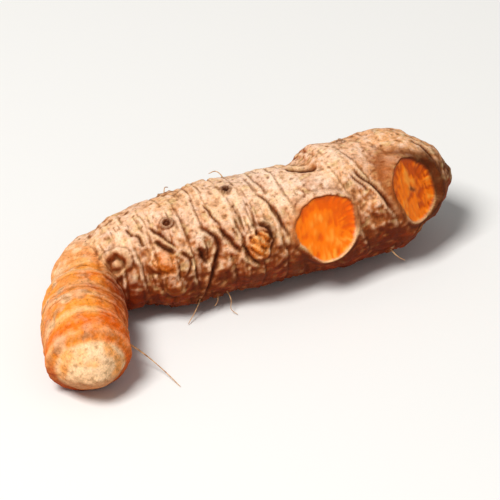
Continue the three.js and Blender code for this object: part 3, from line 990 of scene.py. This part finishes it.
def skin_colours(skin):
    """The colour of each point of the skin, from its place and the marks on it."""
    tones = [noise_at(skin.points, size, seed) for size, seed in TONES]
    fleck = tones[2]
    old = 1 - 0.6 * skin.finger
    shaded = ramp(0.5, -0.1, skin.out[:, 2])
    fine, wide = (hollows(skin, *size) for size in HOLLOWS)
    crest = np.clip(-0.8 * fine - 0.3 * wide, 0, 1)
    hollow = np.clip(0.8 * fine + 0.35 * wide, 0, 1)
    # where crests get painted highlight: the lit side, with less of it on buds, eyes, scar edges, the
    # back and the blunt end
    highlight_share = (1 - shaded) * old * (1 - 0.85 * skin.bud) * (1 - skin.soot) * (1 - skin.plain)
    highlight_share *= 1 - 0.6 * skin.eye
    highlight_share *= 1 - 0.4 * ramp(0.0, 0.6, skin.out[:, 1])
    highlight_share *= 1 - 0.65 * ramp(31, 36, skin.x)
    colour = coated(old_skin_colours(skin, *tones), [
        (young_skin_colours(skin, *tones), skin.finger * ramp(5, 9, skin.reach)),
        (BUD, 0.92 * skin.bud),
        (YOUNG, 0.5 * skin.bud * ramp(-0.05, 0.3, fleck)),
        (CORK, 0.45 * skin.eye),
        # paler crests: partly rubbed skin, partly painted highlight
        (BLUSH, 0.5 * crest * highlight_share),
        # darker hollows: partly dirt, partly painted shade
        (EARTH, 0.55 * hollow * old),
        # darker skin by rings, creases and scars: mostly painted shade, partly stain
        (CORK, 0.42 * np.clip(skin.stain, 0, 1.3) * old),
        # pale lips on ridges and raised edges, kept off the shaded side: partly paler skin, partly
        # painted highlight
        (CREAM, 0.65 * np.clip(skin.lip, 0, 1) * (1 - 0.85 * shaded) * (1 - skin.soot)),
        (GROOVE, 0.86 * np.clip(skin.groove, 0, 1)),
        (PIT, 0.85 * np.clip(skin.groove - 1, 0, 1)),
    ])
    flesh = coated(mix_rows(FLESH, FLESH_LIGHT, ramp(0.0, 0.45, skin.fibre)), [
        (FLESH_DRY, 0.7 * ramp(-0.1, -0.5, skin.fibre)),
        # dried flesh, darker in the hollows between its fibres
        (SHADED_ORANGE, 1.1 * skin.dried * ramp(-0.05, -0.55, skin.fibre)),
    ])
    colour = coated(np.clip(colour, 0, 1) ** DEPTH_POWER, [
        # dark dried scar edges, partly painted shade
        (EARTH, 0.8 * skin.soot),
        (flesh, skin.flesh * (1 - 0.8 * np.clip(skin.groove, 0, 1))),
        (RIM, 0.95 * skin.rim),
    ])
    return np.clip(colour, 0, 1)


def frame_shift(points):
    """The move from the shape's own coordinates to the frame's, which has the box's middle at 0."""
    low, high = np.array(cad_box, float)
    middle = (low + high) / 2 / MM
    own = (points.min(axis=0) + points.max(axis=0)) / 2
    return np.array([middle[0] - own[0], middle[1] - own[1], 0.0])


def attribute(mesh, name, values):
    """Stores a number or a colour at each point of a mesh."""
    if np.ndim(values) == 1:
        layer = mesh.attributes.new(name, "FLOAT", "POINT")
        layer.data.foreach_set("value", values.astype(np.float32))
        return
    layer = mesh.attributes.new(name, "FLOAT_COLOR", "POINT")
    rgba = np.hstack([values, np.ones((len(values), 1))])
    layer.data.foreach_set("color", rgba.astype(np.float32).ravel())


def mesh_object(name, points, faces, material):
    """A smooth-shaded mesh object in metres."""
    mesh = bpy.data.meshes.new(name)
    mesh.from_pydata((np.asarray(points) * MM).tolist(), [], [tuple(f) for f in faces])
    mesh.polygons.foreach_set("use_smooth", np.ones(len(mesh.polygons), bool))
    mesh.materials.append(material)
    return add_object(name, mesh)


class Shader:
    """A new material with short calls to add nodes and join them."""

    def __init__(self, name):
        self.material = bpy.data.materials.new(name)
        self.material.use_nodes = True
        self.nodes = self.material.node_tree.nodes

    def join(self, value, socket):
        """Joins another node's output to a socket, or sets the socket to a plain value."""
        if isinstance(value, bpy.types.NodeSocket):
            self.material.node_tree.links.new(value, socket)
        else:
            socket.default_value = value

    def feed(self, node, inputs):
        """Joins or sets a node's inputs by name, with _ for each space."""
        for name, value in inputs.items():
            self.join(value, node.inputs[name.replace("_", " ")])

    def node(self, kind, settings=(), **inputs):
        """A new node with its settings and inputs."""
        made = self.nodes.new(kind)
        for name, value in dict(settings).items():
            setattr(made, name, value)
        self.feed(made, inputs)
        return made

    def grain(self, scale, detail, roughness):
        """Noise over the object, with scale as features to a metre."""
        place = self.node("ShaderNodeTexCoord").outputs["Object"]
        sizes = {"Scale": scale, "Detail": detail, "Roughness": roughness}
        return self.node("ShaderNodeTexNoise", Vector=place, **sizes).outputs["Fac"]

    def ranged(self, value, low, high, start, end):
        """A value from low to high turned into one from start to end."""
        sizes = {"From_Min": low, "From_Max": high, "To_Min": start, "To_Max": end}
        return self.node("ShaderNodeMapRange", Value=value, **sizes).outputs["Result"]

    def blend(self, share, first, second):
        """The first colour where the share is 0, and the second where it is 1."""
        mixer = self.node("ShaderNodeMix", {"data_type": "RGBA"}, Factor=share)
        self.join(first, mixer.inputs[6])
        self.join(second, mixer.inputs[7])
        return mixer.outputs[2]

    def surface(self, **inputs):
        """Sets the surface's inputs, and returns the material."""
        self.feed(self.nodes["Principled BSDF"], inputs)
        return self.material


def skin_material():
    """Corky skin and wet flesh: point colours, fine specks, and fine grain as bump."""
    shader = Shader("turmeric_skin")
    tint = shader.node("ShaderNodeAttribute", {"attribute_name": "tint"}).outputs["Color"]
    flesh = shader.node("ShaderNodeAttribute", {"attribute_name": "flesh"}).outputs["Fac"]
    grain = shader.grain(2600.0, 4.0, 0.62)
    darker = shader.ranged(grain, 0.3, 0.72, 0.74, 1.24)
    scaled = shader.node("ShaderNodeVectorMath", {"operation": "SCALE"}, Vector=tint, Scale=darker)
    specks = shader.ranged(shader.grain(1500.0, 2.0, 0.5), 0.66, 0.74, 0.0, 0.45)
    speckled = shader.blend(specks, scaled.outputs["Vector"], (*EARTH, 1.0))
    relief = shader.ranged(flesh, 0.0, 1.0, 0.5, 0.15)
    bump = shader.node("ShaderNodeBump", Strength=relief, Distance=0.0003, Height=grain)
    return shader.surface(
        Base_Color=shader.blend(flesh, speckled, tint),
        Roughness=shader.ranged(flesh, 0.0, 1.0, 0.8, 0.45),
        Normal=bump.outputs["Normal"],
        Specular_IOR_Level=0.12,
        Subsurface_Weight=0.06,
        Subsurface_Radius=(0.0016, 0.0007, 0.0003),
        Subsurface_Scale=0.6,
    )


def rootlet_material():
    """Dry rootlets: straw with darker bands."""
    shader = Shader("turmeric_rootlet")
    bands = shader.ranged(shader.grain(900.0, 3.0, 0.6), 0.38, 0.66, 0.0, 1.0)
    tone = shader.blend(bands, (*STRAW, 1.0), (*STRAW_DARK, 1.0))
    return shader.surface(Base_Color=tone, Roughness=0.8)


def make_skin():
    """The whole rhizome's skin, in place of the CAD node."""
    skin = Skin()
    add_unevenness(skin)
    add_rings(skin)
    add_wrinkles(skin)
    add_buds(skin)
    add_root_scars(skin)
    add_creases(skin)
    add_break_scars(skin)
    shift = frame_shift(skin.points)
    skin.out = normals_of(skin.points, skin.quads)
    colours = skin_colours(skin)
    skin.points[:, 2] = np.maximum(skin.points[:, 2], 0)
    piece = mesh_object("rhizome_skin", skin.points + shift, skin.quads, skin_material())
    attribute(piece.data, "tint", colours)
    attribute(piece.data, "flesh", skin.flesh)
    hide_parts("rhizome")
    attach(piece, "root")
    return shift


def tube(points, thickness):
    """A thin tapering tube along points, closed at both ends, as points and faces."""
    line = Line(points)
    distance = np.linspace(0, line.length, ROOTLET_STEPS)
    middle, side, top = line.at(distance)
    share = distance / line.length
    radius = thickness / 2 * (1 - ROOTLET_TAPER * share) * (1 + 0.15 * np.sin(9 * share))
    rings = []
    for k in range(ROOTLET_SIDES):
        turn = 2 * math.pi * k / ROOTLET_SIDES
        rings.append(middle + (side * math.cos(turn) + top * math.sin(turn)) * radius[:, None])
    made = np.stack(rings, axis=1).reshape(-1, 3)
    faces = []
    for r in range(ROOTLET_STEPS - 1):
        for k in range(ROOTLET_SIDES):
            a, b = r * ROOTLET_SIDES + k, r * ROOTLET_SIDES + (k + 1) % ROOTLET_SIDES
            faces.append((a, b, b + ROOTLET_SIDES, a + ROOTLET_SIDES))
    faces.append(tuple(range(ROOTLET_SIDES))[::-1])
    faces.append(tuple(range(len(made) - ROOTLET_SIDES, len(made))))
    return made, faces


def stub_points(x, degrees, length, bend):
    """A short rootlet's line, out of the skin and drooping."""
    start, out = on_body(x, degrees)
    points = [start - out * STUB_ROOT_DEPTH]
    for far, down, aside in STUB_LINE:
        points.append(start + out * far * length + ALONG * aside * bend - UP * down * length)
    return points


def make_rootlets(shift):
    """The few thin dry rootlets that are left on the root."""
    tubes = [tube(points, thickness) for points, thickness in ROOTLETS]
    tubes += [tube(stub_points(*stub), STUB_THICKNESS) for stub in ROOTLET_STUBS]
    points, faces = merged(tubes)
    points[:, 2] = np.maximum(points[:, 2], ROOTLET_REST)
    piece = mesh_object("rhizome_rootlets", points + shift, faces, rootlet_material())
    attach(piece, "root")


# The view: the photograph looks down on the heap from the front, a little to the left
VIEW_TURN = math.radians(-22)
VIEW_RISE = math.radians(35)
VIEW_DISTANCE = 0.7
FRAME_WIDTH = 0.094
SENSOR = 36.0

# The stage: the floor's size in metres, its tone and roughness, the sky's tone and power, and the
# lights as name, place, size, power and colour
FLOOR_SIZE = 6.0
FLOOR_TONE = (0.86, 0.86, 0.85, 1.0)
FLOOR_ROUGHNESS = 0.7
SKY_TONE = (1.0, 0.99, 0.97, 1.0)
SKY_POWER = 0.26
LIGHTS = [
    ("key", (-0.5, -0.25, 0.95), 0.4, 13.0, (1.0, 0.98, 0.95)),
    ("fill", (0.5, -0.9, 0.45), 0.8, 0.5, (1.0, 0.95, 0.9)),
]


def make_camera():
    """A long lens on the root, at the photograph's angle."""
    low, high = (Vector(corner) for corner in cad_box)
    target = (low + high) / 2
    back = Vector((
        math.sin(VIEW_TURN) * math.cos(VIEW_RISE),
        -math.cos(VIEW_TURN) * math.cos(VIEW_RISE),
        math.sin(VIEW_RISE),
    ))
    data = bpy.data.cameras.new("camera")
    data.sensor_width = SENSOR
    data.lens = SENSOR * VIEW_DISTANCE / FRAME_WIDTH
    data.clip_start = 0.01
    data.clip_end = 50
    camera = add_object("camera", data)
    camera.location = target + back * VIEW_DISTANCE
    camera.rotation_euler = back.to_track_quat("Z", "Y").to_euler()
    bpy.context.scene.camera = camera


def area_light(name, place, size, power, colour):
    """A square soft light that faces the root."""
    data = bpy.data.lights.new(name, "AREA")
    data.size = size
    data.energy = power
    data.color = colour
    light = add_object(name, data)
    light.location = place
    light.rotation_euler = Vector(place).to_track_quat("Z", "Y").to_euler()


def make_stage():
    """A plain pale floor and plain soft light."""
    half = FLOOR_SIZE / 2
    corners = [(-half, -half, 0), (half, -half, 0), (half, half, 0), (-half, half, 0)]
    floor_mesh = bpy.data.meshes.new("floor")
    floor_mesh.from_pydata(corners, [], [(0, 1, 2, 3)])
    floor_paint = Shader("floor_white").surface(Base_Color=FLOOR_TONE, Roughness=FLOOR_ROUGHNESS)
    floor_mesh.materials.append(floor_paint)
    floor = add_object("floor", floor_mesh)
    for light in LIGHTS:
        area_light(*light)
    world = bpy.data.worlds.new("studio")
    world.use_nodes = True
    background = world.node_tree.nodes["Background"]
    background.inputs["Color"].default_value = SKY_TONE
    background.inputs["Strength"].default_value = SKY_POWER
    bpy.context.scene.world = world
    bpy.context.scene.view_settings.view_transform = "Standard"


shape_shift = make_skin()
make_rootlets(shape_shift)
make_camera()
make_stage()
